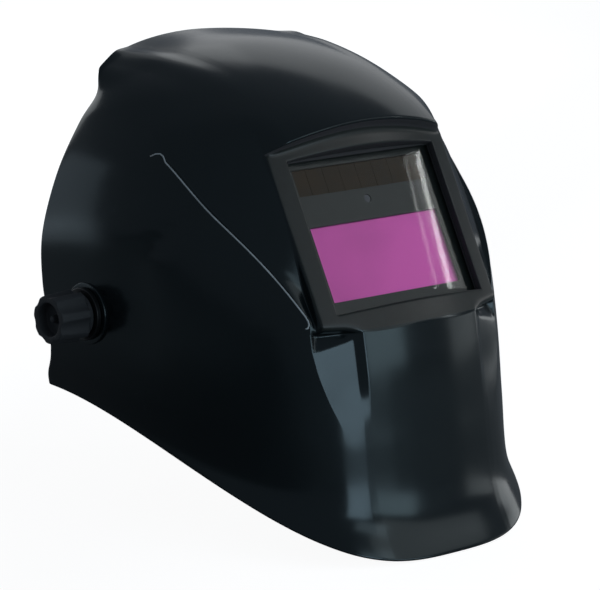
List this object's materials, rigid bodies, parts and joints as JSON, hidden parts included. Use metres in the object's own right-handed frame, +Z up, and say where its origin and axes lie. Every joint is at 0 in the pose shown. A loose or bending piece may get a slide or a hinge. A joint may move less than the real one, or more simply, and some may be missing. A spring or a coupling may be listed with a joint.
{
  "type": "welding helmet",
  "caption": "Flip-up welding mask with a lens cartridge in a framed window, side tension knobs and adjustable headgear with a rear ratchet.",
  "frame": {"origin": "middle of the shell's pivot axis, between the two tension knobs", "axes": "the wearer faces -Y, +X is the wearer's left hand, +Z is up with the headgear level"},
  "size_m": [0.2776, 0.296, 0.2581],
  "materials": {
    "shell_gloss": "gloss black moulding",
    "holder_plastic": "satin black",
    "case_plastic": "fine matt black",
    "clear_lens": "clear polycarbonate",
    "filter_purple": "purple interference coating",
    "lcd": "dark green laminate",
    "solar": "brown solar cell",
    "sensor": "small lens",
    "board": "green laminate",
    "steel": "plated steel",
    "grey_slider": "light grey",
    "knob_plastic": "satin black",
    "washer_black": "matt black",
    "washer_fibre": "off-white nylon",
    "headgear_plastic": "satin black",
    "pad_fabric": "black foam-backed cloth"
  },
  "bodies": {
    "headgear": {"headband": "headgear_plastic", "side_arm_l": "headgear_plastic", "side_arm_r": "headgear_plastic", "sweatband": "pad_fabric", "crown_strap_l": "headgear_plastic", "crown_strap_r": "headgear_plastic", "crown_peg": "headgear_plastic", "band_tail_l": "headgear_plastic", "band_tail_r": "headgear_plastic"},
    "rear_adjuster": {"ratchet_case": "headgear_plastic", "ratchet_cover": "headgear_plastic", "detent_spring": "steel", "nape_pad": "pad_fabric"},
    "rear_knob": {"ratchet_knob": "knob_plastic", "pinion": "washer_fibre"},
    "carrier": {"pivot_bolt_l": "steel", "pivot_bolt_r": "steel", "pivot_block_l": "headgear_plastic", "pivot_block_r": "headgear_plastic", "inner_washer_l": "washer_fibre", "inner_washer_r": "washer_fibre", "outer_washer_l": "washer_black", "outer_washer_r": "washer_black"},
    "stop_l": {"tilt_stop_l": "headgear_plastic"},
    "stop_r": {"tilt_stop_r": "headgear_plastic"},
    "knob_l": {"tension_knob_l": "knob_plastic", "knob_nut_l": "steel"},
    "knob_r": {"tension_knob_r": "knob_plastic", "knob_nut_r": "steel"},
    "mask": {"shell": "shell_gloss", "filter_holder": "holder_plastic", "cover_lens": "clear_lens", "case_front": "case_plastic", "case_back": "case_plastic", "filter_glass": "filter_purple", "lcd_stack": "lcd", "solar_cell": "solar", "arc_sensor": "sensor", "circuit_board": "board", "battery": "steel", "inner_lens": "clear_lens", "holder_screw_1": "steel", "holder_screw_2": "steel", "holder_screw_3": "steel", "holder_screw_4": "steel"},
    "slider": {"shade_slider": "grey_slider"},
    "latch_left": {"latch_l": "holder_plastic"},
    "latch_right": {"latch_r": "holder_plastic"}
  },
  "joints": [
    {"name": "fore_aft", "type": "slide", "parent": "headgear", "child": "carrier", "axis": [0, -1, 0], "range_m": [-0.006, 0.006]},
    {"name": "shell_flip", "type": "hinge", "parent": "carrier", "child": "mask", "pos_m": [0, 0, 0], "axis": [-1, 0, 0], "range_deg": [-15, 55]},
    {"name": "knob_turn_l", "type": "hinge", "parent": "carrier", "child": "knob_l", "pos_m": [0.125, 0, 0], "axis": [1, 0, 0], "range_deg": [-180, 180]},
    {"name": "knob_turn_r", "type": "hinge", "parent": "carrier", "child": "knob_r", "pos_m": [-0.125, 0, 0], "axis": [1, 0, 0], "range_deg": [-180, 180]},
    {"name": "tilt_limit_l", "type": "hinge", "parent": "carrier", "child": "stop_l", "pos_m": [0.1, 0, 0], "axis": [1, 0, 0], "range_deg": [-10, 10]},
    {"name": "tilt_limit_r", "type": "hinge", "parent": "carrier", "child": "stop_r", "pos_m": [-0.1, 0, 0], "axis": [1, 0, 0], "range_deg": [-10, 10]},
    {"name": "ratchet_turn", "type": "hinge", "parent": "rear_adjuster", "child": "rear_knob", "pos_m": [0, 0.11, -0.025], "axis": [0, 1, 0], "range_deg": [-105, 175]},
    {"name": "size_slide", "type": "slide", "parent": "headgear", "child": "rear_adjuster", "axis": [0, -1, 0], "range_m": [-0.006, 0.01], "deforming": ["band_tail_l", "band_tail_r"]},
    {"name": "shade_set", "type": "slide", "parent": "mask", "child": "slider", "axis": [1, 0, 0], "range_m": [-0.005, 0.005]},
    {"name": "latch_open_l", "type": "slide", "parent": "mask", "child": "latch_left", "axis": [1, 0, 0], "range_m": [0, 0.004]},
    {"name": "latch_open_r", "type": "slide", "parent": "mask", "child": "latch_right", "axis": [-1, 0, 0], "range_m": [0, 0.004]}
  ],
  "couplings": [
    {"joint": "ratchet_turn", "follows": "size_slide", "rad_per_m": 294.12}
  ]
}
